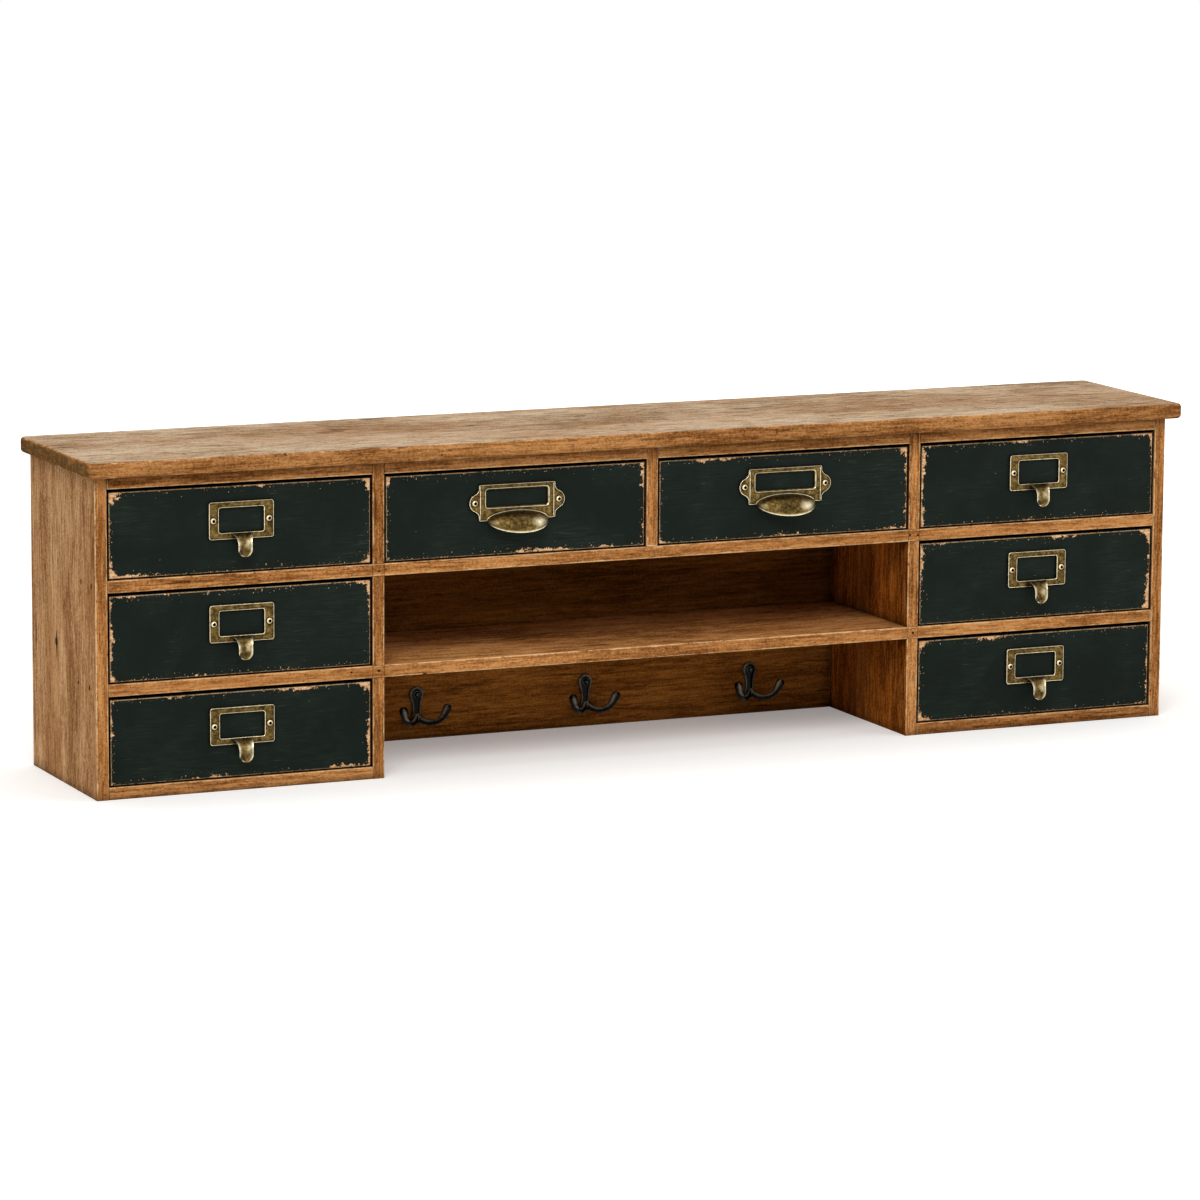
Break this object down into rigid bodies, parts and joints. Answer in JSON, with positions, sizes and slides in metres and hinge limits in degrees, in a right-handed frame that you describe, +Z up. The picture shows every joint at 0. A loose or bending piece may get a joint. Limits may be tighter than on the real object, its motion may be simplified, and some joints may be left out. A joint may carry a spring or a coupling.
{
  "type": "desktop drawer cabinet",
  "caption": "Low, wide wooden desktop cabinet with painted drawers at both sides and under the top, an open cubby, and hooks in the open bay below.",
  "frame": {"origin": "centre of the footprint on the surface that the cabinet stands on", "axes": "+X to the right along the length, +Y to the back, +Z up; drawers open towards -Y"},
  "size_m": [1.02, 0.1838, 0.2826],
  "materials": {
    "pine_top": "worn wax, grain along the length",
    "pine_case": "worn wax",
    "pine_back": "dark wax",
    "drawer_pine": "bare, sanded",
    "painted_front": "near-black green paint, chipped to bare wood at the edges",
    "antique_brass": "antiqued, rubbed bright on the rims",
    "bright_brass": "polished",
    "hook_iron": "black, satin",
    "hook_screw_iron": "blackened"
  },
  "bodies": {
    "case": {"top_board": "pine_top", "side_panel_left": "pine_case", "side_panel_right": "pine_case", "upright_left": "pine_case", "upright_right": "pine_case", "centre_divider": "pine_case", "upper_shelf": "pine_case", "lower_shelf": "pine_case", "bottom_board_left": "pine_case", "bottom_board_right": "pine_case", "top_rails": "pine_case", "back_board_left": "pine_back", "back_board_centre": "pine_back", "back_board_right": "pine_back", "hook_left": "hook_iron", "hook_centre": "hook_iron", "hook_right": "hook_iron", "hook_screws": "hook_screw_iron"},
    "drawer_left_bottom": {"drawer_left_bottom_front": "painted_front", "drawer_left_bottom_walls": "drawer_pine", "drawer_left_bottom_bottom": "drawer_pine", "drawer_left_bottom_pull": "antique_brass", "drawer_left_bottom_screws": "bright_brass"},
    "drawer_left_middle": {"drawer_left_middle_front": "painted_front", "drawer_left_middle_walls": "drawer_pine", "drawer_left_middle_bottom": "drawer_pine", "drawer_left_middle_pull": "antique_brass", "drawer_left_middle_screws": "bright_brass"},
    "drawer_left_top": {"drawer_left_top_front": "painted_front", "drawer_left_top_walls": "drawer_pine", "drawer_left_top_bottom": "drawer_pine", "drawer_left_top_pull": "antique_brass", "drawer_left_top_screws": "bright_brass"},
    "drawer_centre_left": {"drawer_centre_left_front": "painted_front", "drawer_centre_left_walls": "drawer_pine", "drawer_centre_left_bottom": "drawer_pine", "drawer_centre_left_pull": "antique_brass", "drawer_centre_left_screws": "bright_brass"},
    "drawer_right_bottom": {"drawer_right_bottom_front": "painted_front", "drawer_right_bottom_walls": "drawer_pine", "drawer_right_bottom_bottom": "drawer_pine", "drawer_right_bottom_pull": "antique_brass", "drawer_right_bottom_screws": "bright_brass"},
    "drawer_right_middle": {"drawer_right_middle_front": "painted_front", "drawer_right_middle_walls": "drawer_pine", "drawer_right_middle_bottom": "drawer_pine", "drawer_right_middle_pull": "antique_brass", "drawer_right_middle_screws": "bright_brass"},
    "drawer_right_top": {"drawer_right_top_front": "painted_front", "drawer_right_top_walls": "drawer_pine", "drawer_right_top_bottom": "drawer_pine", "drawer_right_top_pull": "antique_brass", "drawer_right_top_screws": "bright_brass"},
    "drawer_centre_right": {"drawer_centre_right_front": "painted_front", "drawer_centre_right_walls": "drawer_pine", "drawer_centre_right_bottom": "drawer_pine", "drawer_centre_right_pull": "antique_brass", "drawer_centre_right_screws": "bright_brass"}
  },
  "joints": [
    {"name": "drawer_left_bottom_slide", "type": "slide", "parent": "case", "child": "drawer_left_bottom", "axis": [0, -1, 0], "range_m": [0, 0.12]},
    {"name": "drawer_left_middle_slide", "type": "slide", "parent": "case", "child": "drawer_left_middle", "axis": [0, -1, 0], "range_m": [0, 0.12]},
    {"name": "drawer_left_top_slide", "type": "slide", "parent": "case", "child": "drawer_left_top", "axis": [0, -1, 0], "range_m": [0, 0.12]},
    {"name": "drawer_centre_left_slide", "type": "slide", "parent": "case", "child": "drawer_centre_left", "axis": [0, -1, 0], "range_m": [0, 0.12]},
    {"name": "drawer_right_bottom_slide", "type": "slide", "parent": "case", "child": "drawer_right_bottom", "axis": [0, -1, 0], "range_m": [0, 0.12]},
    {"name": "drawer_right_middle_slide", "type": "slide", "parent": "case", "child": "drawer_right_middle", "axis": [0, -1, 0], "range_m": [0, 0.12]},
    {"name": "drawer_right_top_slide", "type": "slide", "parent": "case", "child": "drawer_right_top", "axis": [0, -1, 0], "range_m": [0, 0.12]},
    {"name": "drawer_centre_right_slide", "type": "slide", "parent": "case", "child": "drawer_centre_right", "axis": [0, -1, 0], "range_m": [0, 0.12]}
  ]
}
